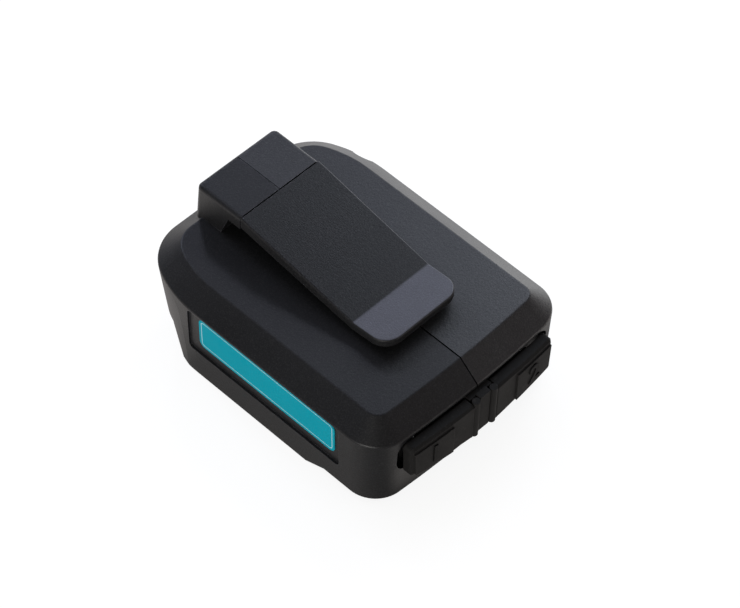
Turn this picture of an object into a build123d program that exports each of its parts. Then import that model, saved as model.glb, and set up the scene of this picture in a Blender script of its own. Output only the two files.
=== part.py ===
# Slide-on USB power adapter for a cordless tool battery, with a belt clip on its back.
# Millimetres. +Z up, USB end towards -Y, +X to the right of somebody looking at the USB end.
# The origin is at the middle of the underside of the whole adapter's box.

import os
from math import atan2, degrees, hypot, radians, sin

from build123d import *

os.makedirs("parts", exist_ok=True)

# Housing, outside
body_width = 74.0
body_length = 96.5
cover_proud = 4.0              # the port cover stands this far in front of the housing
crease_height = 26.8           # widest outline, where the wall turns into the bevel
top_height = 32.5
bevel_inset = 6.6
front_bow = 1.7                # sag of the bowed USB end over the full width
front_corner = 10.4
rear_sweep, rear_sweep_turn = 40.5, 24.0  # each rear corner starts as a wide arc
rear_corner = 15.7             # and closes with this tighter one
wall_draft = 0.9               # how far the walls lean in by the time they reach the bottom
rear_slant = 6.0               # the rear end leans in more, to clear the battery's own end
front_step = 3.0               # the USB end is this much higher than the rest of the underside
step_start, step_end = -18.0, -25.0
top_edge_round, crease_round = 0.9, 0.8
seam_width, seam_depth, tower_seam_depth = 0.4, 0.45, 0.15

body_middle = cover_proud / 2
front_y = body_middle - body_length / 2
rear_y = body_middle + body_length / 2
half_width = body_width / 2
bevel_angle = degrees(atan2(bevel_inset, top_height - crease_height))
draft_angle = degrees(atan2(wall_draft, crease_height))
rear_lean = rear_slant / crease_height

# Housing, inside
wall = 2.4
front_wall = 4.55              # thicker, because the cover's pocket is sunk into it
inner_crease = 25.7
inner_top = top_height - wall
floor_thickness = 2.0
nose_floor = front_step + 2.2
nose_chamber_width, nose_corner = 63.0, 7.0
rib_x, rib_rows, rib_length, rib_thickness = 18.0, (-14.0, 22.0), 12.0, 1.6
core_x, core_rows = 33.0, (-7.0, 12.0)
core_width, core_length, core_depth = 2.2, 16.0, 9.0

# Seat for the battery's rails, open at the bottom and at the rear
rail_width = 60.0
neck_width = 54.4
lip_height = 5.5
rail_ceiling = 11.0
seat_front = -24.0
skirt_end_foot, skirt_end_top = 31.0, 35.7  # the skirts end on a slant, from foot to ceiling
catch_width, catch_front, catch_rear, catch_depth = 22.0, 34.5, 39.0, 3.5
chamber_floor = rail_ceiling + floor_thickness

# Tower that carries the belt clip
tower_width = 30.0
tower_top = 44.5
tower_rear_top, tower_rear_foot, tower_foot_height = 45.9, 46.9, 31.4
tower_root = [(44.4, 30.4), (43.0, 28.0), (38.0, 28.0), (36.5, 32.4)]  # its profile inside the body
tower_front = 28.9             # the seam across the top between tower and clip
tower_edge_round, tower_corner_round = 1.4, 1.8
shelf_under, shelf_root_y = 40.0, 33.4
socket_low, socket_high = 41.2, 43.4
socket_back = 36.6
head_front = 34.0              # the clip's tongue widens into a head behind this line
tongue_width, tongue_head = 24.0, 27.0
tongue_low, tongue_high = 41.6, 43.0
fit_gap = 0.4

# Belt clip
clip_root_width, clip_lip_width = 30.0, 29.2
clip_root_y = tower_front - fit_gap
clip_crease_y, clip_crease_z = -13.7, 37.0
clip_tip_y, clip_tip_z = -26.4, 38.0
clip_root_thick, clip_crease_thick, clip_tip_thick = 3.7, 2.7, 2.4
clip_corner, clip_crease_round, clip_edge_round = 5.5, 3.0, 0.5

# Port cover and its pocket
pocket_half, pocket_low, pocket_high, pocket_corner = 29.0, 13.0, 26.0, 4.5
pocket_floor_y = front_y + 2.85
flap_low, flap_high, flap_rise = 10.5, 24.9, 2.4  # its lower edge rises towards the outer end
flap_back_y = front_y - 0.1
cover_front_y = front_y - cover_proud
flap_front_y = cover_front_y + 0.4
flap_near, flap_far, flap_foot_far = 4.75, 27.5, 27.0  # its outer end leans in at the foot
flap_low_corner, flap_high_corner, flap_edge_bevel = 1.6, 1.6, 0.7
flap_sweep = 1.3               # how far the outer end of a flap's front is swept back
bead_x, bead_radius = 3.4, 1.15
bead_y = cover_front_y + bead_radius
bead_low, bead_high = 11.2, 25.5
anchor_half = 1.95
web_thickness = 1.2
panel_near, panel_high, panel_margin, panel_rise = 12.4, 22.9, 0.9, 0.5
plug_width, plug_height, plug_gap = 15.5, 8.6, 0.6
tab_width, tab_height, tab_drop, tab_reach = 10.4, 1.8, 1.15, 0.8
peg_radius, peg_height = 1.5, 19.5
stem_half, stem_low, stem_gap = 4.2, 14.6, 0.35
barb_radius, barb_length, barb_taper = 2.3, 2.4, 25

# Circuit board and the two sockets
board_thickness = 1.6
board_top = 14.9
board_low = board_top - board_thickness
board_half = 30.0
board_front, board_rear = -39.6, 26.0
arm_near, arm_far, arm_rear = 17.0, 25.5, 35.6
usb_x = 14.5
usb_width, usb_height, usb_length, usb_wall = 13.2, 5.7, 13.5, 0.4
usb_mouth_y = pocket_floor_y + 0.5
usb_middle_z = board_top + usb_height / 2
usb_gap = 0.4
tongue_plate, tongue_plate_width, tongue_plate_drop = 1.84, 11.2, 0.65
socket_tongue_length = 8.0
contact_x = (-3.5, -1.0, 1.0, 3.5)
contact_width, contact_thickness = 1.1, 0.25

# Battery terminals
blade_x, blade_thickness = 18.2, 0.8
blade_low, blade_high = 5.9, 10.3
blade_tip_y, blade_tail_y = -4.5, -28.8
terminal_half, terminal_low, terminal_high = 20.9, 5.5, 10.7
terminal_front, terminal_rear = -30.2, -20.6

# Cross screws that pull the halves together, at (y, z)
cross_screws = [(-24.5, 21.0), (-37.5, 8.2), (16.0, 21.0), (41.8, 17.4)]
boss_radius, well_radius, well_floor = 4.1, 2.8, 6.0
clearance_radius, pilot_radius, pilot_depth = 1.5, 1.2, 9.0
head_radius, head_height, shank_radius = 2.6, 1.9, 1.15

# Board screws
post_x, post_y, post_radius = 26.5, -30.8, 2.4
board_screw_shank, board_screw_head = 0.95, 2.1

# Label
label_near, label_far = -28.7, 23.1
label_low, label_high = 13.4, 25.3
recess_near, recess_far = -30.7, 27.1
recess_low, recess_high = 9.8, 26.2
recess_depth, label_thickness = 0.8, 0.25

# Power button
button_y, button_z = 32.5, 20.5
button_radius, button_hole = 2.7, 2.95
button_edge, button_stem = 0.4, 1.5
scoop_radius, scoop_bottom_x, scoop_low = 4.9, 34.5, 16.0
button_face_x, flange_x, flange_thickness, flange_radius = 35.0, 33.2, 0.9, 3.7
button_pad = 6.5               # half width of the thicker wall behind the scoop
switch_face_x, plunger_end_x, plunger_radius = 25.4, 28.0, 1.7


def front_arc(half, middle_y):
    """The bowed USB end of an outline, from the -X side to the +X side."""
    return ThreePointArc((-half, middle_y + front_bow), (0, middle_y), (half, middle_y + front_bow))


def outline(height, inset=0.0, thicker_front=0.0):
    """Plan outline of the body at a height, drawn in all round from the widest one."""
    half = half_width - inset
    front_line, rear_line = front_y + inset + thicker_front, rear_y - inset
    sweep_radius, corner_radius = rear_sweep - inset, rear_corner - inset
    arcs_length = corner_radius + (sweep_radius - corner_radius) * sin(radians(rear_sweep_turn))
    with BuildSketch(Plane.XY.offset(height)) as plan:
        with BuildLine():
            wall_line = Line((half, front_line + front_bow), (half, rear_line - arcs_length))
            wide_arc = JernArc(wall_line @ 1, wall_line % 1, sweep_radius, rear_sweep_turn)
            tight_arc = JernArc(wide_arc @ 1, wide_arc % 1, corner_radius, 90 - rear_sweep_turn)
            mirror(about=Plane.YZ)
            rear_half = (tight_arc @ 1).X
            Line((-rear_half, rear_line), (rear_half, rear_line))
            front_arc(half, front_line)
        make_face()
        fillet(plan.vertices().sort_by(Axis.Y)[:2], front_corner - inset)
    return plan.sketch


def edges_at(part, height):
    """Edges that lie in the level plane at a height."""
    return part.edges().filter_by_position(Axis.Z, height - 0.01, height + 0.01)


def creased_form(low, crease, top, inset=0.0, thicker_front=0.0, rounded=False):
    """Drafted walls below a crease and a bevel above it, with the rear end leaning in."""
    clear = 0.05  # the slanting column stands outside the walls, except where the rear leans in
    column_top = top + 1
    with BuildPart() as form:
        add(outline(crease, inset, thicker_front))
        extrude(amount=top - crease, taper=bevel_angle)
        add(outline(crease, inset, thicker_front))
        extrude(amount=low - crease, taper=draft_angle)
        if rounded:
            fillet(edges_at(form, top), top_edge_round)
            fillet(edges_at(form, crease), crease_round)
        with Locations((0, rear_lean * (column_top - crease))):
            add(outline(column_top, inset - clear))
        extrude(amount=-(column_top + 1 - low) * hypot(1, rear_lean), dir=(0, rear_lean, 1),
                mode=Mode.INTERSECT)
    return form.part


def body_form(inset=0.0, rounded=False):
    """The outside of the body as one solid, or the same form drawn in all round."""
    return creased_form(0, crease_height, top_height - inset, inset, rounded=rounded)


def tower_form(shrink=0.0):
    """Side profile of the clip tower, run across the body."""
    top = tower_top - shrink
    with BuildPart() as tower:
        with BuildSketch(Plane.YZ):
            with BuildLine():
                Polyline(
                    (tower_front, top), (tower_rear_top - shrink, top),
                    (tower_rear_foot - shrink, tower_foot_height), *tower_root, (shelf_root_y, shelf_under),
                    (tower_front, shelf_under), close=True)
            make_face()
        extrude(amount=tower_width / 2 - shrink, both=True)
        upright = tower.edges().filter_by_position(Axis.Z, tower_foot_height, top, (False, False))
        fillet(upright.group_by(Axis.Y)[-1], tower_corner_round - shrink)
        fillet(edges_at(tower, top).filter_by_position(Axis.Y, shelf_root_y, rear_y).group_by(Axis.Y)[-1],
               tower_edge_round - shrink)
    return tower.part


def chamber_form():
    """Room for the electronics above the rails, and down behind the USB end."""
    nose_front, nose_rear = front_y + front_wall + 0.8, seat_front - 2.0
    with BuildPart() as chamber:
        add(creased_form(chamber_floor, inner_crease, inner_top, wall, front_wall - wall))
        with BuildSketch(Plane.XY.offset(nose_floor)) as nose:
            with Locations((0, (nose_front + nose_rear) / 2)):
                Rectangle(nose_chamber_width, nose_rear - nose_front)
            fillet(nose.vertices().group_by(Axis.Y)[0], nose_corner)
        extrude(amount=chamber_floor - nose_floor + 1)
    return chamber.part


def seat_form():
    """Undercut slot for the battery's rails, its open rear end and the step under the USB end."""
    reach = rear_y + 10 - seat_front
    with BuildPart() as seat:
        for width, low, high in ((rail_width, lip_height, rail_ceiling), (neck_width, -1, lip_height + 0.1)):
            with BuildSketch(Plane.XY.offset(low)):
                with Locations((0, seat_front)):
                    Rectangle(width, reach, align=(Align.CENTER, Align.MIN))
            extrude(amount=high - low)
        with BuildSketch(Plane.YZ):
            with BuildLine():
                Polyline((step_start, 0), (step_end, front_step), (-60, front_step), (-60, -1),
                         (step_start, -1), close=True)
            make_face()
            with BuildLine():
                Polyline((skirt_end_foot, -1), (skirt_end_foot, 0), (skirt_end_top, rail_ceiling),
                         (rear_y + 1, rail_ceiling), (rear_y + 1, -1), close=True)
            make_face()
        extrude(amount=half_width + 1, both=True)
    return seat.part


def pocket_form():
    """Recess for the port cover: a rounded slot whose floor follows the bowed front."""
    with BuildPart() as pocket:
        with BuildSketch(Plane.XZ.offset(-pocket_floor_y - 6)):
            with Locations((0, (pocket_low + pocket_high) / 2)):
                RectangleRounded(2 * pocket_half, pocket_high - pocket_low, pocket_corner)
        extrude(amount=20)
        with BuildSketch():
            with BuildLine():
                front_arc(half_width, pocket_floor_y)
                Polyline((half_width, pocket_floor_y + front_bow), (half_width, -60), (-half_width, -60),
                         (-half_width, pocket_floor_y + front_bow))
            make_face()
        extrude(amount=top_height, mode=Mode.INTERSECT)
    return pocket.part


def side_plane(side):
    """Plane of the leaning side wall, local x along the wall and local y up it."""
    return Plane(origin=(side * half_width, 0, crease_height), x_dir=(0, side, 0),
                 z_dir=(side * crease_height, 0, -wall_draft))


def on_wall(height):
    """Local y on the side wall for a height above the table."""
    return height - crease_height


def seam_form():
    """Shallow groove that runs round the outside where the halves meet."""
    with BuildPart() as seam:
        with BuildSketch(Plane.XY.offset(-1)):
            with Locations((0, body_middle)):
                Rectangle(seam_width, body_length + 20)
        extrude(amount=tower_top + 5)
        add(body_form(seam_depth), mode=Mode.SUBTRACT)
        add(tower_form(tower_seam_depth), mode=Mode.SUBTRACT)
    return seam.part


def block(low, high):
    """Box between two corners."""
    with BuildPart() as solid:
        with Locations(tuple((a + b) / 2 for a, b in zip(low, high))):
            Box(*(b - a for a, b in zip(low, high)))
    return solid.part


def inside_form():
    """Screw bosses, board posts and ribs, the box over the catch and the pad behind the scoop."""
    with BuildPart() as inside:
        with BuildSketch(Plane.YZ):
            with Locations(*cross_screws):
                Circle(boss_radius)
        extrude(amount=half_width, both=True)
        add(block((-catch_width / 2 - 2, catch_front - 2, chamber_floor - 0.5),
                  (catch_width / 2 + 2, catch_rear + 2, rail_ceiling + catch_depth + 1.5)))
        with BuildSketch(Plane.XY.offset(nose_floor - 0.5)):
            with Locations((-post_x, post_y), (post_x, post_y)):
                Circle(post_radius)
        extrude(amount=board_low - nose_floor + 0.5)
        for x in (-rib_x, rib_x):
            for y in rib_rows:
                add(block((x - rib_length / 2, y - rib_thickness / 2, chamber_floor - 0.5),
                          (x + rib_length / 2, y + rib_thickness / 2, board_low)))
        add(block((flange_x + 0.1, button_y - button_pad, button_z - button_pad),
                  (half_width, button_y + button_pad, inner_crease + 0.5)))
        add(body_form(1.0), mode=Mode.INTERSECT)
    return inside.part


def front_openings():
    """Windows for the two sockets, the cover's peg hole and the terminal block's window."""
    window_x, window_z = usb_width + 2 * usb_gap, usb_height + 2 * usb_gap
    with BuildPart() as openings:
        with BuildSketch(Plane.XZ.offset(-front_y - 10)):
            with Locations((-usb_x, usb_middle_z), (usb_x, usb_middle_z)):
                RectangleRounded(window_x, window_z, 0.5)
            with Locations((0, peg_height)):
                Circle(peg_radius + 0.05)
        extrude(amount=12)
        add(block((-terminal_half - 0.1, seat_front - 4, terminal_low + 0.2),
                  (terminal_half + 0.1, seat_front + 1, terminal_high)))
    return openings.part


def screw_holes():
    """Wells from the right, clearance holes to the seam and pilot holes past it."""
    with BuildPart() as holes:
        for start, radius, length in ((well_floor, well_radius, half_width), (0, clearance_radius, well_floor + 1),
                                      (-pilot_depth, pilot_radius, pilot_depth + 1)):
            with BuildSketch(Plane.YZ.offset(start)):
                with Locations(*cross_screws):
                    Circle(radius)
            extrude(amount=length)
        with BuildSketch(Plane.XY.offset(board_low - 6.5)):
            with Locations((-post_x, post_y), (post_x, post_y)):
                Circle(board_screw_shank + 0.05)
        extrude(amount=7)
    return holes.part


def side_details():
    """Label recess on the left wall, finger scoop and button hole on the right."""
    wall_plane = side_plane(-1)
    with BuildPart() as details:
        with BuildSketch(wall_plane):
            with Locations((-(recess_near + recess_far) / 2, on_wall((recess_low + recess_high) / 2))):
                RectangleRounded(recess_far - recess_near, recess_high - recess_low, 1.5)
        extrude(amount=-recess_depth)
        scoop_x = scoop_bottom_x + scoop_radius
        with BuildSketch(Plane.XY.offset(scoop_low)):
            with Locations((scoop_x, button_y)):
                Circle(scoop_radius)
        extrude(amount=top_height - scoop_low)
        with Locations((scoop_x, button_y, scoop_low)):
            Sphere(scoop_radius)
        with BuildSketch(Plane.YZ.offset(flange_x - 4)):
            with Locations((button_y, button_z)):
                Circle(button_hole)
        extrude(amount=8)
        with BuildSketch(Plane.YZ.offset(flange_x + 0.1)):
            with Locations((button_y, button_z)):
                Circle(flange_radius + fit_gap)
        extrude(amount=-6)
    return details.part


def underside_details():
    """Latch catch in the ceiling, coring pockets in the skirts and the clip's socket."""
    with BuildPart() as details:
        add(block((-catch_width / 2, catch_front, rail_ceiling - 1),
                  (catch_width / 2, catch_rear, rail_ceiling + catch_depth)))
        with BuildSketch(Plane.XY.offset(-1)):
            with Locations(*((x, y) for x in (-core_x, core_x) for y in core_rows)):
                RectangleRounded(core_width, core_length, core_width * 0.45)
        extrude(amount=core_depth + 1)
        socket_half = tongue_width / 2 + fit_gap
        head_half = tongue_head / 2 + fit_gap
        add(block((-socket_half, tower_front - 1, socket_low), (socket_half, socket_back, socket_high)))
        add(block((-head_half, head_front - fit_gap, socket_low), (head_half, socket_back, socket_high)))
    return details.part


def housing_shell():
    """Both halves in one piece, before they are parted down the middle."""
    with BuildPart() as shell:
        add(body_form(rounded=True))
        add(tower_form())
        add(chamber_form(), mode=Mode.SUBTRACT)
        add(inside_form())
        for cut in (seat_form(), pocket_form(), front_openings(), screw_holes(), side_details(),
                    underside_details(), seam_form()):
            add(cut, mode=Mode.SUBTRACT)
    return shell.part


def housing_half(shell, keep):
    with BuildPart() as half:
        add(shell)
        split(bisect_by=Plane.YZ, keep=keep)
    return half


def belt_clip():
    """Tapering strap with a flared lip, and a tongue whose head the two halves capture."""
    with BuildPart() as clip:
        with BuildSketch(Plane.YZ):
            with BuildLine():
                Polyline(
                    (clip_root_y, tower_top), (clip_crease_y, clip_crease_z), (clip_tip_y, clip_tip_z),
                    (clip_tip_y, clip_tip_z - clip_tip_thick),
                    (clip_crease_y, clip_crease_z - clip_crease_thick),
                    (clip_root_y, tower_top - clip_root_thick), close=True)
            make_face()
        extrude(amount=clip_root_width / 2, both=True)
        with BuildSketch() as plan:
            with BuildLine():
                Polyline(
                    (-clip_root_width / 2, clip_root_y), (-clip_lip_width / 2, clip_tip_y),
                    (clip_lip_width / 2, clip_tip_y), (clip_root_width / 2, clip_root_y), close=True)
            make_face()
            fillet(plan.vertices().group_by(Axis.Y)[0], clip_corner)
        extrude(amount=tower_top + 1, mode=Mode.INTERSECT)
        crease = clip.edges().filter_by(Axis.X).filter_by_position(Axis.Y, clip_crease_y - 0.1, clip_crease_y + 0.1)
        fillet(crease, clip_crease_round)
        upper = ShapeList(face for face in clip.faces() if face.normal_at().Z > 0.7)
        rim = ShapeList(edge for edge in upper.edges() if edge.center().Y < clip_root_y - 1
                        and (abs(edge.center().X) > 1 or edge.center().Y < clip_tip_y + 0.1))
        fillet(rim, clip_edge_round)
        add(block((-tongue_width / 2, clip_root_y - 1, tongue_low), (tongue_width / 2, head_front + 1, tongue_high)))
        add(block((-tongue_head / 2, head_front, tongue_low),
                  (tongue_head / 2, socket_back - fit_gap, tongue_high)))
    return clip


def flap_plan(near, far, back, front, sweep_front):
    """Plan of a bowed flap or panel on the right, between a back and a front line."""
    back_sag = front_bow * (far / half_width) ** 2
    near_sag = front_bow * (near / half_width) ** 2
    middle = (near + far) / 2
    middle_sag = front_bow * (middle / half_width) ** 2

    def sweep(x):
        return sweep_front * (x / flap_far) ** 2

    with BuildSketch() as plan:
        with BuildLine():
            ThreePointArc((near, back + near_sag), (middle, back + middle_sag), (far, back + back_sag))
            ThreePointArc((near, front + sweep(near)), (middle, front + sweep(middle)), (far, front + sweep(far)))
            Line((near, back + near_sag), (near, front + sweep(near)))
            Line((far, back + back_sag), (far, front + sweep(far)))
        make_face()
    return plan.sketch


def flap_face(margin=0.0):
    """Front view of the right flap: its outer end leans in at the foot, with round corners."""
    low, high = flap_low + margin, flap_high - margin
    with BuildSketch(Plane.XZ.offset(-pocket_floor_y)) as face:
        with BuildLine():
            Polyline((flap_near, low), (flap_foot_far - margin, low + flap_rise), (flap_far - margin, high),
                     (flap_near, high), close=True)
        make_face()
        fillet(face.vertices().sort_by(Axis.X)[-2], flap_low_corner - margin)
        fillet(face.vertices().sort_by(Axis.X)[-1], flap_high_corner - margin)
    return face.sketch


def bowed_plate(near, high, back, front, margin=0.0):
    """Plate of the right flap that follows the bowed front, cut to the flap's front view."""
    with BuildPart() as plate:
        with BuildSketch(Plane.XY.offset(flap_low)):
            add(flap_plan(near, flap_far, back, front, flap_sweep))
        extrude(amount=high - flap_low)
        add(flap_face(margin))
        extrude(amount=10, dir=(0, -1, 0), mode=Mode.INTERSECT)
        if not margin:
            rim = plate.faces().sort_by(Axis.Y)[0].edges().filter_by_position(Axis.X, near + 1, flap_far)
            chamfer(rim, flap_edge_bevel)
    return plate.part


def port_flap():
    """Right flap: bead, thin web, bowed plate with a raised panel, and a plug on its back."""
    with BuildPart() as flap:
        with BuildSketch(Plane.XY.offset(bead_low)):
            with Locations((bead_x, bead_y)):
                Circle(bead_radius)
        extrude(amount=bead_high - bead_low)
        add(block((bead_x, bead_y - web_thickness / 2, bead_low),
                  (flap_near + 0.3, bead_y + web_thickness / 2, flap_high - flap_edge_bevel)))
        add(bowed_plate(flap_near, flap_high, flap_back_y, flap_front_y))
        add(bowed_plate(panel_near, panel_high, flap_front_y + 1, flap_front_y - panel_rise, panel_margin))
        root_y = flap_back_y - 1.2
        for width, height, drop, reach_y in ((plug_width, plug_height, 0, pocket_floor_y - plug_gap),
                                             (tab_width, tab_height, tab_drop, usb_mouth_y + tab_reach)):
            with BuildSketch(Plane.XZ.offset(-root_y)):
                with Locations((usb_x, usb_middle_z - drop)):
                    RectangleRounded(width, height, height * 0.17)
            extrude(amount=root_y - reach_y)
    return flap


def port_anchor():
    """Middle of the cover: a strip between the beads, a stem in the pocket and a barbed peg."""
    wall_back = front_y + front_wall + 0.45
    with BuildPart() as anchor:
        add(block((-anchor_half, bead_y - 0.3, bead_low), (anchor_half, flap_back_y - 1, bead_high)))
        add(block((-stem_half, bead_y + bead_radius + stem_gap, stem_low),
                  (stem_half, pocket_floor_y, bead_high - fit_gap)))
        with BuildSketch(Plane.XZ.offset(-pocket_floor_y)):
            with Locations((0, peg_height)):
                Circle(peg_radius)
        extrude(amount=-(wall_back - pocket_floor_y))
        with BuildSketch(Plane.XZ.offset(-wall_back)):
            with Locations((0, peg_height)):
                Circle(barb_radius)
        extrude(amount=-barb_length, taper=barb_taper)
    return anchor


def rating_label():
    wall_plane = side_plane(-1).offset(-recess_depth)
    with BuildPart() as label:
        with BuildSketch(wall_plane):
            with Locations((-(label_near + label_far) / 2, on_wall((label_low + label_high) / 2))):
                RectangleRounded(label_far - label_near, label_high - label_low, 2.0)
        extrude(amount=label_thickness)
    return label


def usb_shell(side):
    """Folded steel shell of a socket, open at the mouth, with two legs on the board."""
    inner_width, inner_height = usb_width - 2 * usb_wall, usb_height - 2 * usb_wall
    with BuildPart() as shell:
        with BuildSketch(Plane.XZ.offset(-usb_mouth_y)):
            with Locations((side * usb_x, usb_middle_z)):
                RectangleRounded(usb_width, usb_height, 0.6)
        extrude(amount=-usb_length)
        with BuildSketch(Plane.XZ.offset(-usb_mouth_y)):
            with Locations((side * usb_x, usb_middle_z)):
                RectangleRounded(inner_width, inner_height, 0.3)
        extrude(amount=-(usb_length - usb_wall), mode=Mode.SUBTRACT)
        with BuildSketch(Plane.XY.offset(usb_middle_z)):
            with Locations((side * usb_x - 3, usb_mouth_y + 5), (side * usb_x + 3, usb_mouth_y + 5)):
                Rectangle(1.6, 3.2)
        extrude(amount=usb_height, mode=Mode.SUBTRACT)
    return shell


def usb_insulator(side):
    """Moulded insert of a socket: the tongue and the block behind it."""
    top = board_top + usb_height - usb_wall - tongue_plate_drop
    block_front = usb_mouth_y + 1 + socket_tongue_length
    half_block = (usb_width - 2 * usb_wall) / 2 - 0.1
    x = side * usb_x
    with BuildPart() as insert:
        add(block((x - tongue_plate_width / 2, usb_mouth_y + 1, top - tongue_plate),
                  (x + tongue_plate_width / 2, block_front + 0.5, top)))
        add(block((x - half_block, block_front, board_top + usb_wall + 0.1),
                  (x + half_block, usb_mouth_y + usb_length - usb_wall - 0.1, board_top + usb_height - usb_wall - 0.1)))
        front = insert.edges().filter_by(Axis.X).group_by(Axis.Y)[0]
        chamfer(front, 0.5)
    return insert


def usb_contacts(side):
    """Four spring strips under a tongue."""
    under = board_top + usb_height - usb_wall - tongue_plate_drop - tongue_plate
    with BuildPart() as contacts:
        for x in contact_x:
            middle = side * usb_x + x
            add(block((middle - contact_width / 2, usb_mouth_y + 1.8, under - contact_thickness),
                      (middle + contact_width / 2, usb_mouth_y + 1 + socket_tongue_length, under)))
    return contacts


def circuit_board():
    """Board with an arm out to the switch, slots for the blade tails and screw holes."""
    with BuildPart() as board:
        with BuildSketch(Plane.XY.offset(board_low)) as plan:
            with Locations((0, (board_front + board_rear) / 2)):
                Rectangle(2 * board_half, board_rear - board_front)
            fillet(plan.vertices(), 4)
            with Locations(((arm_near + arm_far) / 2, board_rear)):
                Rectangle(arm_far - arm_near, 2 * (arm_rear - board_rear))
            with Locations((-post_x, post_y), (post_x, post_y)):
                Circle(board_screw_shank + 0.15, mode=Mode.SUBTRACT)
            with Locations((-blade_x, blade_tail_y + 0.8), (blade_x, blade_tail_y + 0.8)):
                Rectangle(blade_thickness + 0.3, 1.9, mode=Mode.SUBTRACT)
        extrude(amount=board_thickness)
    return board


def terminal_block():
    """Insulating block in the window at the end of the seat, with a flange behind the wall."""
    flange_front, flange_rear = seat_front - 4.2, seat_front - 2.0
    with BuildPart() as terminals:
        add(block((-terminal_half, terminal_front, terminal_low + 0.3),
                  (terminal_half, terminal_rear, terminal_high - 0.1)))
        add(block((-terminal_half - 2, flange_front, nose_floor + 0.1),
                  (terminal_half + 2, flange_rear, terminal_high - 0.1)))
        chamfer(terminals.edges().group_by(Axis.Y)[-1], 0.6)
        for x in (-blade_x, blade_x):
            add(block((x - blade_thickness / 2, terminal_front - 1, blade_low),
                      (x + blade_thickness / 2, terminal_rear + 1, blade_high)), mode=Mode.SUBTRACT)
            add(block((x - blade_thickness / 2, blade_tail_y, blade_high - 1),
                      (x + blade_thickness / 2, blade_tail_y + 1.6, terminal_high)), mode=Mode.SUBTRACT)
        add(block((-6, seat_front + 0.5, terminal_low), (6, terminal_rear + 1, 8.4)), mode=Mode.SUBTRACT)
    return terminals


def terminal_blade(side):
    """Flat blade with a chamfered tip and a tail that turns up through the board."""
    x = side * blade_x
    with BuildPart() as blade:
        with BuildSketch(Plane.YZ.offset(x - blade_thickness / 2)) as profile:
            with BuildLine():
                Polyline(
                    (blade_tail_y, blade_low), (blade_tip_y, blade_low), (blade_tip_y, blade_high),
                    (blade_tail_y + 1.6, blade_high), (blade_tail_y + 1.6, board_top + 1),
                    (blade_tail_y, board_top + 1), close=True)
            make_face()
            chamfer(profile.vertices().group_by(Axis.X)[-1], 1.2)
        extrude(amount=blade_thickness)
        tip = blade.edges().filter_by(Axis.Z).group_by(Axis.Y)[-1]
        chamfer(tip, 0.25)
    return blade


def screw(head_plane, shank, head, height, length, recess):
    """Pan head screw: the shank runs along -z of its plane and the head stands on it."""
    with BuildPart() as fastener:
        with BuildSketch(head_plane):
            Circle(head)
        extrude(amount=height)
        rim = fastener.edges().filter_by(GeomType.CIRCLE).sort_by(Axis(head_plane.origin, head_plane.z_dir))[-1]
        chamfer(rim, height * 0.4)
        with BuildSketch(head_plane):
            Circle(shank)
        extrude(amount=-length)
        with BuildSketch(head_plane.offset(height)):
            Rectangle(recess * 3.2, recess)
            Rectangle(recess, recess * 3.2)
        extrude(amount=-height * 0.55, mode=Mode.SUBTRACT)
    return fastener


def screw_group(planes, shank, head, height, length, recess):
    with BuildPart() as group:
        for plane in planes:
            add(screw(plane, shank, head, height, length, recess).part)
    return group


def power_button():
    """Round push button with a flange behind the wall and a stem."""
    with BuildPart() as button:
        with BuildSketch(Plane.YZ.offset(flange_x)):
            with Locations((button_y, button_z)):
                Circle(button_radius)
        extrude(amount=button_face_x - flange_x)
        chamfer(button.edges().filter_by(GeomType.CIRCLE).sort_by(Axis.X)[-1], button_edge)
        with BuildSketch(Plane.YZ.offset(flange_x - flange_thickness)):
            with Locations((button_y, button_z)):
                Circle(flange_radius)
        extrude(amount=flange_thickness)
        with BuildSketch(Plane.YZ.offset(plunger_end_x)):
            with Locations((button_y, button_z)):
                Circle(button_stem)
        extrude(amount=flange_x - plunger_end_x)
    return button


def switch_plunger():
    with BuildPart() as plunger:
        with BuildSketch(Plane.YZ.offset(switch_face_x - 0.5)):
            with Locations((button_y, button_z)):
                Circle(plunger_radius)
        extrude(amount=plunger_end_x - switch_face_x + 0.5)
    return plunger


def tact_switch():
    """Upright push switch on the board's arm, with a steel face and a hole for the plunger."""
    with BuildPart() as switch:
        add(block((switch_face_x - 3.8, button_y - 2.4, board_top), (switch_face_x, button_y + 2.5, button_z + 2.6)))
        chamfer(switch.edges().filter_by(Axis.X), 0.4)
        with BuildSketch(Plane.YZ.offset(switch_face_x)):
            with Locations((button_y, button_z)):
                Circle(plunger_radius + 0.2)
        extrude(amount=-1.8, mode=Mode.SUBTRACT)
    return switch


def can_capacitor(x, y, radius, height):
    """Aluminium can with a rolled groove near its foot and a scored top."""
    groove = 1.6
    with BuildPart() as can:
        with BuildSketch(Plane.XZ) as profile:
            with BuildLine():
                Polyline(
                    (0, 0), (radius, 0), (radius, groove), (radius - 0.4, groove + 0.4),
                    (radius, groove + 0.8), (radius, height - 0.6), (radius - 0.6, height), (0, height),
                    close=True)
            make_face()
        revolve(axis=Axis.Z)
        with BuildSketch(Plane.XY.offset(height)):
            Rectangle(radius * 1.3, 0.35)
            Rectangle(0.35, radius * 1.3)
        extrude(amount=-0.25, mode=Mode.SUBTRACT)
    return placed(can.part, (x, y, board_top))


def placed(part, position):
    """The same part moved to a place, in a builder of its own."""
    with BuildPart() as moved:
        with Locations(position):
            add(part)
    return moved


def power_inductor():
    """Ferrite drum: two square flanges with a wound waist between them."""
    with BuildPart() as drum:
        with BuildSketch(Plane.XY.offset(board_top)):
            RectangleRounded(12.5, 12.5, 2.2)
        extrude(amount=1.4)
        with BuildSketch(Plane.XY.offset(board_top + 1.4)):
            Circle(5.2)
        extrude(amount=4.2)
        with BuildSketch(Plane.XY.offset(board_top + 5.6)):
            Circle(6.0)
        extrude(amount=1.2)
    return placed(drum.part, (-2, -8, 0))


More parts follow.
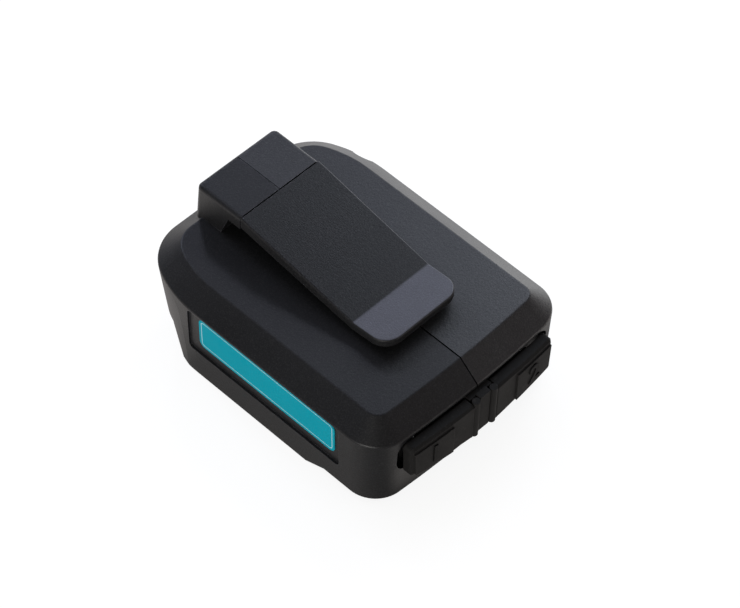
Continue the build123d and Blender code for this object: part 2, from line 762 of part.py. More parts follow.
def small_package(x, y, length, width, height, legs):
    """Moulded package with a row of bent legs down each long side."""
    pitch = length / (legs + 0.5)
    with BuildPart() as package:
        with BuildSketch(Plane.XY.offset(0.15)):
            Rectangle(length, width)
        extrude(amount=height, taper=6)
        with BuildSketch():
            with GridLocations(pitch, width + 1.2, legs, 2):
                Rectangle(0.45, 1.3)
        extrude(amount=0.35)
    return placed(package.part, (x, y, board_top))


def export(builder, name):
    builder.part.label = name
    export_step(builder.part, f"parts/{name}.step")


def screw_planes(stations, x):
    """Planes of the cross screws' head seats, facing right."""
    return [Plane(origin=(x, y, z), x_dir=(0, 1, 0), z_dir=(1, 0, 0)) for y, z in stations]


def build():
    shell = housing_shell()
    export(housing_half(shell, Keep.BOTTOM), "housing_left")
    export(housing_half(shell, Keep.TOP), "housing_right")
    export(belt_clip(), "belt_clip")
    export(rating_label(), "rating_label")

    flap = port_flap()
    export(flap, "port_flap_right")
    with BuildPart() as left_flap:
        mirror(flap.part, about=Plane.YZ)
    export(left_flap, "port_flap_left")
    export(port_anchor(), "port_cover_anchor")

    for side, word in ((-1, "left"), (1, "right")):
        export(usb_shell(side), f"usb_shell_{word}")
        export(usb_insulator(side), f"usb_insulator_{word}")
        export(usb_contacts(side), f"usb_contacts_{word}")

    export(circuit_board(), "circuit_board")
    export(terminal_block(), "terminal_block")
    export(terminal_blade(-1), "blade_negative")
    export(terminal_blade(1), "blade_positive")
    export(power_button(), "power_button")
    export(switch_plunger(), "switch_plunger")
    export(tact_switch(), "tact_switch")
    export(power_inductor(), "power_inductor")
    export(can_capacitor(-17, -6, 5.0, 12.0), "input_capacitor")
    export(can_capacitor(17, 3, 4.0, 11.0), "output_capacitor")
    export(small_package(9, -13, 5.0, 3.9, 1.5, 4), "converter_chip")
    export(small_package(0, -22, 4.9, 3.9, 1.5, 4), "port_controller_chip")
    export(small_package(18, -14, 6.8, 5.8, 2.2, 1), "rectifier_diode")
    export(small_package(-22, -20, 6.1, 2.6, 2.2, 1), "input_fuse")

    export(screw_group(screw_planes(cross_screws, well_floor), shank_radius, head_radius, head_height,
                       well_floor + pilot_depth - 1, 0.9), "housing_screws")
    board_planes = [Plane.XY.offset(board_top).move(Location((x, post_y, 0))) for x in (-post_x, post_x)]
    export(screw_group(board_planes, board_screw_shank, board_screw_head, 1.5, 7.5, 0.7), "board_screws")


build()
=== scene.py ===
# A slide-on USB adapter for a tool battery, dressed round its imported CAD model
import math

import bmesh
import bpy
from mathutils import Matrix, Vector
from mathutils.bvhtree import BVHTree


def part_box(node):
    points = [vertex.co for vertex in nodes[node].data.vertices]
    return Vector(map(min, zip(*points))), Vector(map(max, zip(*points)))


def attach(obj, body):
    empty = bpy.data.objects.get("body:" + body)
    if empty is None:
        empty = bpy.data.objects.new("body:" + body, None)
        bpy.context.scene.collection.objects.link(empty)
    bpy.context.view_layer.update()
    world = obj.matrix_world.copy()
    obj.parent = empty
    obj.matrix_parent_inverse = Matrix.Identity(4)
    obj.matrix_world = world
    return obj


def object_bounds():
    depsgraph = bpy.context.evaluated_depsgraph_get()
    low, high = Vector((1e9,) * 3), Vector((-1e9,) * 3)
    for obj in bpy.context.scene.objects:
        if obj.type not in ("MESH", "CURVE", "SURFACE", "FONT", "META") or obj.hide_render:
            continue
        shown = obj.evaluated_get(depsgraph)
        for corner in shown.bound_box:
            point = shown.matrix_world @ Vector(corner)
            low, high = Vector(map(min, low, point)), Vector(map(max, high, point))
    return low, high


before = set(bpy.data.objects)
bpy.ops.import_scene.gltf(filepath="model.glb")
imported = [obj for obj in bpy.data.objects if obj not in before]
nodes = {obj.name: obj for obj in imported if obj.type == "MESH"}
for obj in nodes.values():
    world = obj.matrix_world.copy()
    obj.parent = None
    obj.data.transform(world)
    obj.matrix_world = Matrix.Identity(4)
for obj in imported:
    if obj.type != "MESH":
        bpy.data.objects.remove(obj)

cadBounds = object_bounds()
mm = 0.001


class Wire:
    # a shader socket that takes part in ordinary sums
    def __init__(self, graph, socket):
        self.graph = graph
        self.socket = socket

    def maths(self, operation, *others):
        inputs = dict(enumerate((self, *others)))
        return self.graph.node("ShaderNodeMath", {"operation": operation}, inputs)

    def __add__(self, other):
        return self.maths("ADD", other)

    def __mul__(self, other):
        return self.maths("MULTIPLY", other)

    def __sub__(self, other):
        return self.maths("SUBTRACT", other)

    def __rsub__(self, other):
        return self * -1 + other

    def __pow__(self, other):
        return self.maths("POWER", other)

    def __abs__(self):
        return self.maths("ABSOLUTE")

    __radd__ = __add__
    __rmul__ = __mul__

    def lower(self, other):
        return self.maths("MINIMUM", other)

    def higher(self, other):
        return self.maths("MAXIMUM", other)

    def step(self, start, end, low=0.0, high=1.0):
        # a smooth rise from low to high while the value goes from start to end
        return self.graph.node(
            "ShaderNodeMapRange", {"interpolation_type": "SMOOTHSTEP"},
            {"Value": self, "From Min": start, "From Max": end, "To Min": low, "To Max": high})

    def parts(self, axes):
        return [self.graph.node("ShaderNodeSeparateXYZ", {}, {0: self}, axis) for axis in axes]


class Graph:
    # the nodes of one material, or of the world
    def __init__(self, owner, coordinates="Object"):
        owner.use_nodes = True
        self.owner = owner
        self.tree = owner.node_tree
        self.tree.nodes.clear()
        self.place = self.node("ShaderNodeTexCoord", {}, {}, coordinates)

    def node(self, kind, settings, inputs, output=0):
        made = self.tree.nodes.new(kind)
        for key, value in settings.items():
            setattr(made, key, value)
        for key, value in inputs.items():
            if isinstance(value, Wire):
                self.tree.links.new(value.socket, made.inputs[key])
            else:
                made.inputs[key].default_value = value
        return Wire(self, made.outputs[output]) if made.outputs else None

    def noise(self, size, detail=3, stretch=(1, 1, 1)):
        # cloudy noise whose blotches are about this many millimetres across
        place = self.node("ShaderNodeMapping", {}, {"Vector": self.place, "Scale": stretch})
        return self.node("ShaderNodeTexNoise", {}, {
            "Vector": place, "Scale": 1 / (size * mm), "Detail": detail})

    def cells(self, size, feature="F1"):
        return self.node("ShaderNodeTexVoronoi", {"feature": feature}, {
            "Vector": self.place, "Scale": 1 / (size * mm)}, "Distance")

    def mix(self, factor, first, second):
        return self.node("ShaderNodeMix", {"data_type": "RGBA"}, {0: factor, 6: first, 7: second}, 2)

    def rounded(self, radius):
        # the surface's direction with its sharp edges softened over this many millimetres
        return self.node("ShaderNodeBevel", {"samples": 4}, {"Radius": radius * mm})

    def facing(self):
        return self.node("ShaderNodeNewGeometry", {}, {}, "Normal")

    def sharpEdges(self, radius):
        # 1 along sharp outer and inner edges, 0 on the flats
        match = self.node("ShaderNodeVectorMath", {"operation": "DOT_PRODUCT"}, {
            0: self.rounded(radius), 1: self.facing()}, "Value")
        return (1 - match).step(0.01, 0.2)

    def bump(self, height, depth, soften=0.0):
        # depth in millimetres, and sharp edges softened over so many millimetres
        inputs = {"Height": height, "Distance": depth * mm}
        if soften:
            inputs["Normal"] = self.rounded(soften)
        return self.node("ShaderNodeBump", {}, inputs)

    def finish(self, paintedShade=None, **inputs):
        # paintedShade is a mask of where a black matt film of painted shade covers the surface
        names = {key: key.replace("_", " ").title().replace("Ior", "IOR") for key in inputs}
        shader = self.node("ShaderNodeBsdfPrincipled", {}, {names[key]: inputs[key] for key in inputs})
        if paintedShade:
            shadeFilm = self.node("ShaderNodeBsdfDiffuse", {}, {"Color": grey(0.003)})
            shader = self.node("ShaderNodeMixShader", {}, {0: paintedShade, 1: shader, 2: shadeFilm})
        self.node("ShaderNodeOutputMaterial", {}, {"Surface": shader})
        return self.owner


def newMaterial(name):
    return Graph(bpy.data.materials.new(name))


def grey(value, warmth=0.0):
    return (value * (1 + warmth), value, value * (1 - warmth), 1)


def dress(material, *names):
    for name in names:
        slots = nodes[name].data.materials
        slots.clear()
        slots.append(material)


# every dictionary gives its lengths in millimetres, apart from those of the lamps and the viewpoint
shellLook = {
    "dark": (0.0055, 0.0055, 0.006, 1), "light": (0.0085, 0.0086, 0.0094, 1), "fleck": grey(0.035),
    "edge": (0.075, 0.076, 0.086, 1), "grain": 0.42, "depth": 0.045, "soften": 0.12, "sparkle": 0.3,
    "flow": 14, "wearAndGlint": 0.7, "edgeReach": 0.35, "roughness": 0.46, "shine": 0.31,
}
# the joint paints shade along the parting line between the halves
leftLook = {**shellLook, "joint": {"half": 0.3, "top": 38, "cover": 0.85}}
# the right half is a shinier, more flecked copy of the left half's plastic, so that it reads brighter
rightLook = {**leftLook, "shine": 0.49, "depth": 0.055, "sparkle": 0.5}
clipLook = {
    **shellLook, "grain": 0.36, "depth": 0.055, "sparkle": 0.5, "roughness": 0.44,
    # the lip's lighter bluish tint is a painted reflection
    "paintedSheen": {"line": -13.7, "blur": 0.4, "tint": (0.076, 0.078, 0.096, 1), "gloss": 0.12},
}
buttonLook = {**shellLook, "light": grey(0.03), "fleck": grey(0.09), "depth": 0.01, "roughness": 0.38}
nylonLook = {
    **shellLook, "dark": grey(0.014), "light": grey(0.024), "grain": 0.6, "sparkle": 0.6, "roughness": 0.55,
}


def mouldedPlastic(name, look):
    # spark eroded moulding: a fine pitted grain, faint flow marks and edges a little lighter, partly from
    # wear and partly a painted highlight
    graph = newMaterial(name)
    grain = graph.noise(look["grain"], detail=4)
    pits = graph.cells(look["grain"] * 1.8)
    flow = graph.noise(look["flow"], detail=2, stretch=(1, 0.35, 1))
    speck = graph.noise(look["grain"] * 0.8, detail=2).step(0.45, 0.72)
    # edges lighter and glossier: partly wear, partly a painted highlight along them
    edges = graph.sharpEdges(look["edgeReach"]) * graph.noise(3).step(0.3, 0.7)
    base = graph.mix(flow, look["dark"], look["light"])
    flecked = graph.mix(speck * look["sparkle"], base, look["fleck"])
    colour = graph.mix(edges * look["wearAndGlint"], flecked, look["edge"])
    roughness = look["roughness"] + (flow - 0.5) * 0.14 + (grain - 0.5) * 0.1 - edges * 0.16
    if "paintedSheen" in look:
        # painted reflection: the upward face in front of a line is coloured lighter and bluish, as a sheen of
        # the sky, and made a little glossier
        sheen = look["paintedSheen"]
        upward = graph.facing().parts("Z")[0].step(0.75, 0.95)
        along = graph.place.parts("Y")[0]
        ahead = along.step((sheen["line"] - sheen["blur"]) * mm, (sheen["line"] + sheen["blur"]) * mm, 1, 0)
        paintedSheen = ahead * upward
        colour = graph.mix(paintedSheen * (0.7 + speck * 0.3), colour, sheen["tint"])
        roughness = roughness - paintedSheen * sheen["gloss"]
    paintedShade = None
    if "joint" in look:
        # painted shade: a dark band along the parting line below the tower, darkening the seam
        joint = look["joint"]
        across, up = graph.place.parts("XZ")
        beside = abs(across).step(joint["half"] * 0.7 * mm, joint["half"] * mm, 1, 0)
        paintedShade = beside * up.step(joint["top"] * mm, (joint["top"] + 1) * mm, joint["cover"], 0)
    height = grain * 0.6 + pits * 0.4
    return graph.finish(paintedShade, base_color=colour, roughness=roughness, specular_ior_level=look["shine"],
                        normal=graph.bump(height, look["depth"], look["soften"]))


dress(mouldedPlastic("leftPlastic", leftLook), "housing_left")
dress(mouldedPlastic("rightPlastic", rightLook), "housing_right")
dress(mouldedPlastic("clipPlastic", clipLook), "belt_clip")
dress(mouldedPlastic("buttonPlastic", buttonLook), "power_button")
dress(mouldedPlastic("blockNylon", nylonLook), "terminal_block", "tact_switch")
print("plastics done")

rubberLook = {
    "dark": grey(0.006, 0.04), "light": grey(0.010, 0.05), "dust": grey(0.035, 0.08),
    "cloud": 6, "fine": 0.25, "dustSize": 1.2, "depth": 0.012, "soften": 0.2, "edgeReach": 0.3,
    "roughness": 0.7, "shine": 0.14,
}
figureLook = {**rubberLook, "dark": grey(0.0015), "light": grey(0.003), "dust": grey(0.008)}


def softRubber(name, look):
    # moulded rubber: matt, a little dusty, smooth at the scale of the plastic's grain
    graph = newMaterial(name)
    cloud = graph.noise(look["cloud"], detail=4)
    dust = graph.noise(look["dustSize"], detail=5).step(0.56, 0.8)
    edges = graph.sharpEdges(look["edgeReach"])
    base = graph.mix(cloud, look["dark"], look["light"])
    colour = graph.mix(dust * 0.35 + edges * 0.25, base, look["dust"])
    roughness = look["roughness"] + (cloud - 0.5) * 0.2 - edges * 0.1
    return graph.finish(base_color=colour, roughness=roughness, specular_ior_level=look["shine"],
                        normal=graph.bump(graph.noise(look["fine"]), look["depth"], look["soften"]))


figureRubber = softRubber("figureRubber", figureLook)
dress(softRubber("coverRubber", rubberLook),
      "port_flap_left", "port_flap_right", "port_cover_anchor", "switch_plunger")

labelLook = {
    "ink": (0.0035, 0.27, 0.34, 1), "inkDeep": (0.003, 0.24, 0.305, 1), "line": (0.42, 0.62, 0.64, 1),
    "inset": 0.95, "lineWidth": 0.22, "corner": 2.0, "dots": 0.12, "scuff": 9, "wave": 2.5, "depth": 0.006,
    "roughness": 0.4, "shine": 0.02,
}


def printedLabel(look):
    # laminated film: flat ink with a fine keyline that runs round it
    graph = newMaterial("labelFilm")
    low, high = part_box("rating_label")
    centre, half = (low + high) / 2, (high - low) / 2
    corner = look["corner"] * mm
    along, up = graph.place.parts("YZ")
    outY = abs(along - centre.y) - (half.y - corner)
    outZ = abs(up - centre.z) - (half.z - corner)
    reach = (outY.higher(0) ** 2 + outZ.higher(0) ** 2) ** 0.5 + outY.higher(outZ).lower(0) - corner
    offLine = abs(reach + look["inset"] * mm)
    line = 1 - offLine.step(look["lineWidth"] * 0.4 * mm, look["lineWidth"] * 0.7 * mm)
    ink = graph.mix(graph.noise(look["dots"], detail=1), look["ink"], look["inkDeep"])
    scuff = graph.noise(look["scuff"], detail=5).step(0.5, 0.85)
    return graph.finish(base_color=graph.mix(line * 0.8, ink, look["line"]),
                        roughness=look["roughness"] + scuff * 0.2, specular_ior_level=look["shine"],
                        normal=graph.bump(graph.noise(look["wave"], detail=2), look["depth"]))


dress(printedLabel(labelLook), "rating_label")
print("rubber and label done")

steelLook = {
    "bright": grey(0.62), "dull": grey(0.5, 0.02), "stain": grey(0.3, 0.06), "tarnish": 0.4,
    "lines": 0.1, "drawn": (1, 0.06, 1), "cloud": 2.5, "blots": 1.1, "depth": 0.004, "soften": 0.08,
    "roughness": 0.28,
}
goldLook = {
    **steelLook, "bright": (0.83, 0.6, 0.26, 1), "dull": (0.72, 0.5, 0.2, 1), "stain": (0.4, 0.26, 0.1, 1),
}
bladeLook = {**steelLook, "bright": (0.76, 0.7, 0.56, 1), "dull": (0.66, 0.6, 0.47, 1), "roughness": 0.32}
screwLook = {**steelLook, "bright": grey(0.34), "dull": grey(0.24), "drawn": (1, 1, 1), "roughness": 0.36}
copperLook = {**steelLook, "bright": (0.72, 0.3, 0.13, 1), "dull": (0.6, 0.22, 0.09, 1), "roughness": 0.24}
solderLook = {**steelLook, "bright": grey(0.7), "dull": grey(0.58), "drawn": (1, 1, 1), "roughness": 0.22}


def metal(name, look):
    # rolled or plated metal: fine drawn lines one way, soft clouds and blots of tarnish
    graph = newMaterial(name)
    lines = graph.noise(look["lines"], detail=2, stretch=look["drawn"])
    cloud = graph.noise(look["cloud"], detail=4)
    tarnish = graph.noise(look["blots"], detail=5).step(0.5, 0.8)
    clean = graph.mix(cloud, look["bright"], look["dull"])
    return graph.finish(base_color=graph.mix(tarnish * look["tarnish"], clean, look["stain"]), metallic=1.0,
                        roughness=look["roughness"] + (lines - 0.5) * 0.2 + tarnish * 0.12,
                        normal=graph.bump(lines, look["depth"], look["soften"]))


dress(metal("shellSteel", steelLook), "usb_shell_left", "usb_shell_right")
dress(metal("contactGold", goldLook), "usb_contacts_left", "usb_contacts_right")
dress(metal("bladeTin", bladeLook), "blade_negative", "blade_positive")
dress(metal("screwSteel", screwLook), "housing_screws", "board_screws")

insertLook = {"pale": grey(0.72, 0.03), "deep": grey(0.62, 0.05), "cloud": 3, "grain": 0.4, "depth": 0.01,
              "soften": 0.1, "roughness": 0.42}


def socketInsert(look):
    graph = newMaterial("insertPlastic")
    cloud = graph.noise(look["cloud"])
    return graph.finish(base_color=graph.mix(cloud, look["pale"], look["deep"]),
                        roughness=look["roughness"] + (cloud - 0.5) * 0.16,
                        normal=graph.bump(graph.noise(look["grain"]), look["depth"], look["soften"]))


boardLook = {
    "mask": (0.008, 0.085, 0.032, 1), "track": (0.03, 0.2, 0.08, 1), "glass": (0.02, 0.13, 0.05, 1),
    "pitch": 4.5, "weave": 0.7, "depth": 0.03, "roughness": 0.32, "coat": 0.3,
}


def boardMask(look):
    # green solder mask over copper tracks, with the weave of the glass showing through
    graph = newMaterial("boardMask")
    tracks = graph.cells(look["pitch"], "DISTANCE_TO_EDGE").step(0.04, 0.07)
    weave = graph.noise(look["weave"], detail=2, stretch=(1, 0.3, 1))
    colour = graph.mix(tracks, look["track"], look["mask"])
    height = (1 - tracks) * 0.7 + weave * 0.2
    return graph.finish(base_color=graph.mix(weave * 0.3, colour, look["glass"]),
                        roughness=look["roughness"] + weave * 0.1, coat_weight=look["coat"],
                        normal=graph.bump(height, look["depth"]))


sleeveLook = {
    "film": (0.012, 0.016, 0.05, 1), "stripe": grey(0.42), "metal": grey(0.62),
    "rim": (0.9, 0.75), "stripeSide": (-0.66, -0.62),  # the stripe's edges as shares of the radius
    "scratch": 0.4, "depth": 0.01, "soften": 0.15, "roughness": 0.4,
}


def canSleeve(node, name, look):
    # shrink sleeve with a paler stripe down one side, and a bare metal top
    graph = newMaterial(name)
    low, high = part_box(node)
    centre = (low + high) / 2
    radius = high.x - centre.x
    across, up = graph.place.parts("XZ")
    top = up.step(*(high.z - inset * mm for inset in look["rim"]))
    stripe = (across - centre.x).step(*(share * radius for share in look["stripeSide"]), 1, 0)
    scratch = graph.noise(look["scratch"], detail=4)
    sleeve = graph.mix(stripe, look["film"], look["stripe"])
    return graph.finish(base_color=graph.mix(top, sleeve, look["metal"]), metallic=top * 0.95,
                        roughness=look["roughness"] + scratch * 0.12 - top * 0.08,
                        normal=graph.bump(scratch, look["depth"], look["soften"]))


chipLook = {
    "dark": grey(0.012), "light": grey(0.03), "tin": grey(0.66), "mark": grey(0.06),
    "legTop": (0.34, 0.38), "markAt": (0.7, -0.9), "markRadius": (0.24, 0.3),
    "grit": 0.15, "depth": 0.02, "soften": 0.08, "roughness": 0.62,
}


def chipEpoxy(node, name, look):
    # matt epoxy body with a moulded dot, and tinned legs below and beside it
    graph = newMaterial(name)
    low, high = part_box(node)
    centre = (low + high) / 2
    across, along, up = graph.place.parts("XYZ")
    leg = 1 - up.step(*(low.z + height * mm for height in look["legTop"]))
    grit = graph.noise(look["grit"], detail=4)
    markX, markY = look["markAt"]
    dot = ((across - low.x - markX * mm) ** 2 + (along - centre.y - markY * mm) ** 2) ** 0.5
    mark = 1 - dot.step(*(radius * mm for radius in look["markRadius"]))
    body = graph.mix(grit, look["dark"], look["light"])
    colour = graph.mix(leg, body, look["tin"])
    return graph.finish(base_color=graph.mix(mark * (1 - leg) * 0.6, colour, look["mark"]), metallic=leg,
                        roughness=look["roughness"] - leg * 0.34,
                        normal=graph.bump(grit + mark, look["depth"], look["soften"]))


coreLook = {
    "dark": grey(0.035), "light": grey(0.075), "edge": grey(0.16), "edgeReach": 0.3,
    "grit": 0.2, "chips": 0.9, "depth": 0.03, "soften": 0.15, "roughness": 0.58,
}


def sinteredCore(look):
    graph = newMaterial("coreFerrite")
    grit = graph.noise(look["grit"], detail=5)
    chips = graph.cells(look["chips"]).step(0.1, 0.4)
    base = graph.mix(grit, look["dark"], look["light"])
    return graph.finish(base_color=graph.mix(graph.sharpEdges(look["edgeReach"]) * 0.6, base, look["edge"]),
                        roughness=look["roughness"] + grit * 0.2,
                        normal=graph.bump(grit + chips * 0.3, look["depth"], look["soften"]))


dress(socketInsert(insertLook), "usb_insulator_left", "usb_insulator_right")
dress(boardMask(boardLook), "circuit_board")
dress(sinteredCore(coreLook), "power_inductor")
for node, name in (("input_capacitor", "inputSleeve"), ("output_capacitor", "outputSleeve")):
    dress(canSleeve(node, name, sleeveLook), node)
for node, name in (("converter_chip", "converterEpoxy"), ("port_controller_chip", "controllerEpoxy"),
                   ("rectifier_diode", "diodeEpoxy"), ("input_fuse", "fuseBody")):
    dress(chipEpoxy(node, name, chipLook), node)
print("inner parts done")


def treeNode(tree, kind, inputs):
    made = tree.nodes.new(kind)
    for key, value in inputs.items():
        if isinstance(value, bpy.types.NodeSocket):
            tree.links.new(value, made.inputs[key])
        else:
            made.inputs[key].default_value = value
    return made


def openTree(name, sizes):
    # a Geometry Nodes tree with a named number input for each size, and its inputs by name
    tree = bpy.data.node_groups.new(name, "GeometryNodeTree")
    tree.interface.new_socket("Geometry", in_out="INPUT", socket_type="NodeSocketGeometry")
    tree.interface.new_socket("Geometry", in_out="OUTPUT", socket_type="NodeSocketGeometry")
    for label in sizes:
        tree.interface.new_socket(label, in_out="INPUT", socket_type="NodeSocketFloat")
    given = treeNode(tree, "NodeGroupInput", {})
    return tree, {socket.name: socket for socket in given.outputs}


def closeTree(tree, geometry, material):
    realized = treeNode(tree, "GeometryNodeRealizeInstances", {"Geometry": geometry})
    painted = treeNode(tree, "GeometryNodeSetMaterial", {
        "Geometry": realized.outputs[0], "Material": material})
    treeNode(tree, "NodeGroupOutput", {"Geometry": painted.outputs[0]})


def grown(name, tree, values, points=()):
    # the tree's result on a few seed points, as a plain mesh object
    seedMesh = bpy.data.meshes.new(name)
    seedMesh.from_pydata(points, [], [])
    seed = bpy.data.objects.new(name, seedMesh)
    bpy.context.scene.collection.objects.link(seed)
    modifier = seed.modifiers.new("shape", "NODES")
    modifier.node_group = tree
    for item in tree.interface.items_tree:
        if item.in_out == "INPUT" and item.name in values:
            modifier[item.identifier] = values[item.name]
    seed.update_tag()
    bpy.context.view_layer.update()
    evaluated = seed.evaluated_get(bpy.context.evaluated_depsgraph_get())
    mesh = bpy.data.meshes.new_from_object(evaluated)
    seed.modifiers.clear()
    seed.data = mesh
    mesh.name = name
    return seed


winding = {"turns": 8.0, "wire": 0.23, "waist": 5.2, "low": 1.75, "high": 5.35}


def windingTree(material):
    # enamelled wire wound up the drum's waist
    tree, size = openTree("windingTree", ("Turns", "Radius", "Height", "Wire"))
    spiral = treeNode(tree, "GeometryNodeCurveSpiral", {
        "Resolution": 28, "Rotations": size["Turns"], "Start Radius": size["Radius"],
        "End Radius": size["Radius"], "Height": size["Height"]})
    ring = treeNode(tree, "GeometryNodeCurvePrimitiveCircle", {"Resolution": 8, "Radius": size["Wire"]})
    tube = treeNode(tree, "GeometryNodeCurveToMesh", {
        "Curve": spiral.outputs[0], "Profile Curve": ring.outputs[0], "Fill Caps": True})
    closeTree(tree, tube.outputs[0], material)
    return tree


def windInductor():
    low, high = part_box("power_inductor")
    centre = (low + high) / 2
    coil = grown("inductor_winding", windingTree(metal("windingCopper", copperLook)), {
        "Turns": winding["turns"], "Wire": winding["wire"] * mm,
        "Radius": (winding["waist"] + winding["wire"]) * mm,
        "Height": (winding["high"] - winding["low"]) * mm})
    coil.data.transform(Matrix.Translation((centre.x, centre.y, low.z + winding["low"] * mm)))
    return coil


solder = {
    "foot": 0.95, "tip": 0.5, "height": 0.7,
    "spread": {"usb_shell_left": 5.6, "usb_shell_right": 5.6,
               "input_capacitor": 2.5, "output_capacitor": 1.8},
}


def solderTree(material):
    # a small cone of solder at every seed point, point down
    tree, size = openTree("solderTree", ("Foot", "Tip", "Height"))
    cone = treeNode(tree, "GeometryNodeMeshCone", {
        "Vertices": 20, "Side Segments": 3, "Radius Top": size["Foot"], "Radius Bottom": size["Tip"],
        "Depth": size["Height"]})
    placed = treeNode(tree, "GeometryNodeInstanceOnPoints", {
        "Points": size["Geometry"], "Instance": cone.outputs["Mesh"]})
    closeTree(tree, placed.outputs[0], material)
    return tree


def solderJoints():
    # under the board, on both sides of each socket's and each capacitor's middle
    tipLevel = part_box("circuit_board")[0].z - solder["height"] * mm
    places = []
    for node, spread in solder["spread"].items():
        low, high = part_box(node)
        centre = (low + high) / 2
        places += [(centre.x + side * spread * mm, centre.y, tipLevel) for side in (-1, 1)]
    return grown("solder_joints", solderTree(metal("solderTin", solderLook)), {
        "Foot": solder["foot"] * mm, "Tip": solder["tip"] * mm, "Height": solder["height"] * mm}, places)


for piece, slot in ((windInductor(), "contact"), (solderJoints(), "steel")):
    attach(piece, "housing")
print("winding and solder done")

numerals = {
    "height": 6.4, "heightShare": 0.7,  # how much of the font's size a figure fills
    "rise": 0.28, "weight": 0.16, "roundEdge": 0.09, "longEdge": 1.2, "merge": 0.005,
    "middleX": 19.3, "middleZ": 17.8,
}


def flatNumeral(digit):
    # the figure as a thin flat mesh, with its long edges divided so that it can follow a curve
    curve = bpy.data.curves.new("numeral", "FONT")
    curve.body = digit
    curve.size = numerals["height"] / numerals["heightShare"] * mm
    curve.align_x = "CENTER"
    curve.align_y = "CENTER"
    curve.offset = numerals["weight"] * mm
    curve.extrude = numerals["rise"] * mm
    curve.bevel_depth = numerals["roundEdge"] * mm
    curve.bevel_resolution = 2
    curve.resolution_u = 8
    source = bpy.data.objects.new("numeral", curve)
    bpy.context.scene.collection.objects.link(source)
    bpy.context.view_layer.update()
    mesh = bpy.data.meshes.new_from_object(source.evaluated_get(bpy.context.evaluated_depsgraph_get()))
    bpy.data.objects.remove(source)
    form = bmesh.new()
    form.from_mesh(mesh)
    bmesh.ops.remove_doubles(form, verts=form.verts, dist=numerals["merge"] * mm)
    bmesh.ops.triangulate(form, faces=form.faces)
    longEdges = [edge for edge in form.edges if edge.calc_length() > numerals["longEdge"] * mm]
    bmesh.ops.subdivide_edges(form, edges=longEdges, cuts=3)
    bmesh.ops.triangulate(form, faces=form.faces)
    return form


def embossedNumeral(digit, flap, side):
    # the figure laid on the bowed front of a flap
    form = flatNumeral(digit)
    plate = nodes[flap].data
    plate.calc_loop_triangles()
    surface = BVHTree.FromPolygons([v.co for v in plate.vertices], [t.vertices for t in plate.loop_triangles])
    wellInFront = -0.2  # metres
    for vert in form.verts:
        x = side * numerals["middleX"] * mm + vert.co.x
        z = numerals["middleZ"] * mm + vert.co.y
        hit = surface.ray_cast(Vector((x, wellInFront, z)), Vector((0, 1, 0)))[0]
        vert.co = (x, hit.y - vert.co.z, z)
    bmesh.ops.recalc_face_normals(form, faces=form.faces)
    result = bpy.data.meshes.new(flap + "_numeral")
    form.to_mesh(result)
    form.free()
    result.materials.append(figureRubber)
    piece = bpy.data.objects.new(flap + "_numeral", result)
    bpy.context.scene.collection.objects.link(piece)
    return piece


for digit, word, side in (("1", "left", -1), ("2", "right", 1)):
    piece = embossedNumeral(digit, "port_flap_" + word, side)
    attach(piece, "flap_" + word)
print("numerals done")

floorLook = {
    "half": 3000, "gap": 0.05, "sheet": grey(0.85), "shadow": 0.22, "backdrop": 1.12,
    "warm": (1.0, 0.94, 0.90, 1),
    # how bright the floor is in reflections, and between which places each level sets in
    "left": 0.42, "corner": 0.14, "rear": 1.1, "front": 1.0, "right": 2.8,
    "spans": {"left": (-48, -34), "rear": (15, 45), "front": (-49, -46), "frontSide": (-36, -22),
              "right": (44, 120), "white": (-60, -10)},
}


def whiteFloor(look):
    # white to the camera, a plain white sheet that takes the soft shadow, and in reflections
    # darkest at the left front corner and brightest at the right
    graph = newMaterial("floorSheet")
    camera, glossy, through = (graph.node("ShaderNodeLightPath", {}, {}, name) for name in
                               ("Is Camera Ray", "Is Glossy Ray", "Is Transmission Ray"))
    across, along = graph.place.parts("XY")
    span = {name: [edge * mm for edge in edges] for name, edges in look["spans"].items()}
    atLeft = along.step(*span["left"], look["corner"], look["left"])
    behind = along.step(*span["rear"], 0, look["rear"])
    inFront = across.step(*span["frontSide"], 0, look["front"]) * along.step(*span["front"], 1, 0)
    beside = across.step(*span["right"])
    glare = atLeft.higher(behind).higher(inFront).higher(beside * look["right"])
    whiteness = (beside * along.step(*span["white"])).higher(camera)
    sheet = graph.node("ShaderNodeBsdfDiffuse", {}, {"Color": look["sheet"]})
    glow = graph.node("ShaderNodeEmission", {}, {
        "Color": graph.mix(whiteness, look["warm"], grey(1.0)),
        "Strength": glare * (1 - camera) + camera * look["backdrop"]})
    lit = camera.higher(glossy).higher(through) * (1 - look["shadow"])
    both = graph.node("ShaderNodeMixShader", {}, {0: lit, 1: sheet, 2: glow})
    graph.node("ShaderNodeOutputMaterial", {}, {"Surface": both})
    half = look["half"] * mm
    corners = [(-half, -half, 0), (half, -half, 0), (half, half, 0), (-half, half, 0)]
    mesh = bpy.data.meshes.new("floor")
    mesh.from_pydata(corners, [], [(0, 1, 2, 3)])
    mesh.materials.append(graph.owner)
    floor = bpy.data.objects.new("floor", mesh)
    floor.location.z = cadBounds[0].z - look["gap"] * mm
    bpy.context.scene.collection.objects.link(floor)


skyLook = {
    "plain": 0.45, "left": 0.05, "right": 0.27, "cool": (0.84, 0.90, 1.15, 1), "warm": (1.13, 0.94, 0.90, 1),
}


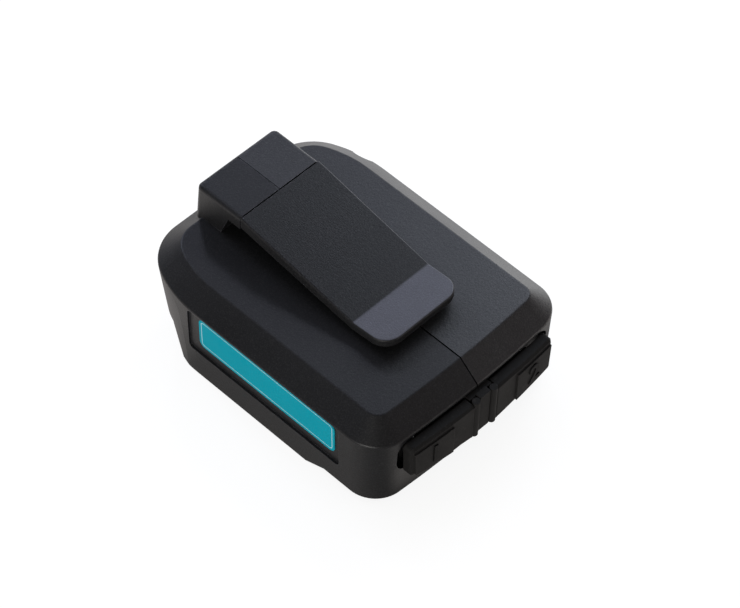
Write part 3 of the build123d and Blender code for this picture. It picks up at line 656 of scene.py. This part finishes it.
def skyLight(look):
    # plain light for matt surfaces, a gradient for shiny ones and white for the camera
    world = bpy.data.worlds.new("studio")
    bpy.context.scene.world = world
    sky = Graph(world, "Generated")
    world.cycles.sampling_method = "NONE"
    camera, glossy = (sky.node("ShaderNodeLightPath", {}, {}, name) for name in
                      ("Is Camera Ray", "Is Glossy Ray"))
    across, along = sky.place.parts("XY")
    shiny = across.step(-0.6, 0.6, look["left"], look["right"])
    tinted = sky.mix(along.step(-0.6, 0.1), look["warm"], look["cool"])
    strength = camera + (1 - camera) * (glossy * shiny + (1 - glossy) * look["plain"])
    light = sky.node("ShaderNodeBackground", {}, {
        "Color": sky.mix(glossy, grey(1.0), tinted), "Strength": strength})
    sky.node("ShaderNodeOutputWorld", {}, {"Surface": light})


# places and sizes in metres, power in watts
lamps = {
    "sideLamp": {"at": (0.22, 0.05, 0.20), "size": 0.16, "power": 0.30, "tint": (0.87, 0.94, 1.06)},
    "fillLamp": {"at": (-0.93, -0.35, 0.12), "size": 0.4, "power": 7.0, "tint": (1.0, 0.98, 0.95)},
    "rearLamp": {"at": (0.39, 0.57, 0.55), "size": 0.1, "power": 0.65, "tint": (0.88, 0.92, 1.14)},
    "edgeLamp": {"at": (0.03, 0.72, 0.42), "size": 0.12, "power": 1.2, "tint": (0.81, 0.89, 1.15)},
    "overLamp": {"at": (-0.3, 0.9, 1.2), "size": 0.9, "power": 2.7, "tint": (0.92, 0.93, 1.08)},
}


def hangLamps():
    middle = (cadBounds[0] + cadBounds[1]) / 2
    for name, lamp in lamps.items():
        light = bpy.data.lights.new(name, "AREA")
        light.shape = "SQUARE"
        light.size = lamp["size"]
        light.energy = lamp["power"]
        light.color = lamp["tint"]
        holder = bpy.data.objects.new(name, light)
        holder.location = lamp["at"]
        holder.rotation_euler = (middle - Vector(lamp["at"])).to_track_quat("-Z", "Y").to_euler()
        bpy.context.scene.collection.objects.link(holder)


# angles in degrees, focal length, slide and frame width in pixels, distance and target in metres,
# and the sensor's width in millimetres
viewpoint = {
    "azimuth": -46.685, "elevation": 51.148, "roll": 1.703, "focalPixels": 3233.6, "distance": 0.88936,
    "target": (0, 0.0020, 0.01628), "slide": (-22.243, 4.852), "frameWidth": 740, "sensor": 36.0,
}


def setCamera():
    azimuth, elevation, roll = (math.radians(viewpoint[key]) for key in ("azimuth", "elevation", "roll"))
    back = Vector((math.sin(azimuth) * math.cos(elevation), -math.cos(azimuth) * math.cos(elevation),
                   math.sin(elevation)))
    right = Vector((math.cos(azimuth), math.sin(azimuth), 0))
    up = back.cross(right)
    right, up = (right * math.cos(roll) + up * math.sin(roll), up * math.cos(roll) - right * math.sin(roll))
    width = viewpoint["frameWidth"]
    lens = bpy.data.cameras.new("camera")
    lens.sensor_width = viewpoint["sensor"]
    lens.lens = viewpoint["focalPixels"] * viewpoint["sensor"] / width
    lens.shift_x = -viewpoint["slide"][0] / width
    lens.shift_y = viewpoint["slide"][1] / width
    holder = bpy.data.objects.new("camera", lens)
    turn = Matrix((right, up, back)).transposed().to_4x4()
    stand = Vector(viewpoint["target"]) + back * viewpoint["distance"]
    holder.matrix_world = Matrix.Translation(stand) @ turn
    bpy.context.scene.collection.objects.link(holder)
    bpy.context.scene.camera = holder


whiteFloor(floorLook)
skyLight(skyLook)
hangLamps()
setCamera()
bpy.context.scene.view_settings.view_transform = "Standard"
print("studio done")
